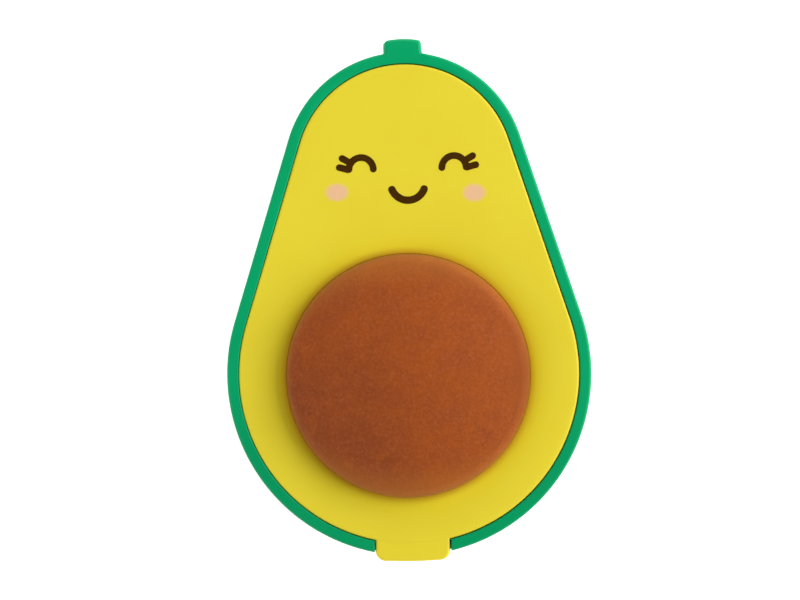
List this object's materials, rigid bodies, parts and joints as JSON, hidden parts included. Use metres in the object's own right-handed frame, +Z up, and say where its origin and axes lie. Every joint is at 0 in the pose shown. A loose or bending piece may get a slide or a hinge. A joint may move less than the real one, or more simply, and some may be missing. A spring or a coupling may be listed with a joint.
{
  "type": "avocado-shaped hinged case",
  "caption": "Small flat pocket case in the outline of a halved avocado, with a hinged lid, an inset face panel with a thumb tab and a raised soft dome.",
  "frame": {"origin": "middle of the case's outline, on the surface that its back rests on", "axes": "+Z up through the lid's face, +Y towards the hinge at the narrow end, +X to the right with the hinge at the top"},
  "size_m": [0.057, 0.0818, 0.0262],
  "materials": {
    "green_plastic": "fine satin moulding",
    "yellow_plastic": "fine satin moulding with a printed face",
    "brown_rubber": "soft matt, faintly mottled",
    "steel": "drawn wire"
  },
  "bodies": {
    "base": {"base_shell": "green_plastic", "hinge_pin": "steel"},
    "lid": {"lid_frame": "green_plastic", "lid_panel": "yellow_plastic", "pit_dome": "brown_rubber"}
  },
  "joints": [
    {"name": "lid_hinge", "type": "hinge", "parent": "base", "child": "lid", "pos_m": [0, 0.04, 0.01265], "axis": [-1, 0, 0], "range_deg": [0, 115]}
  ]
}
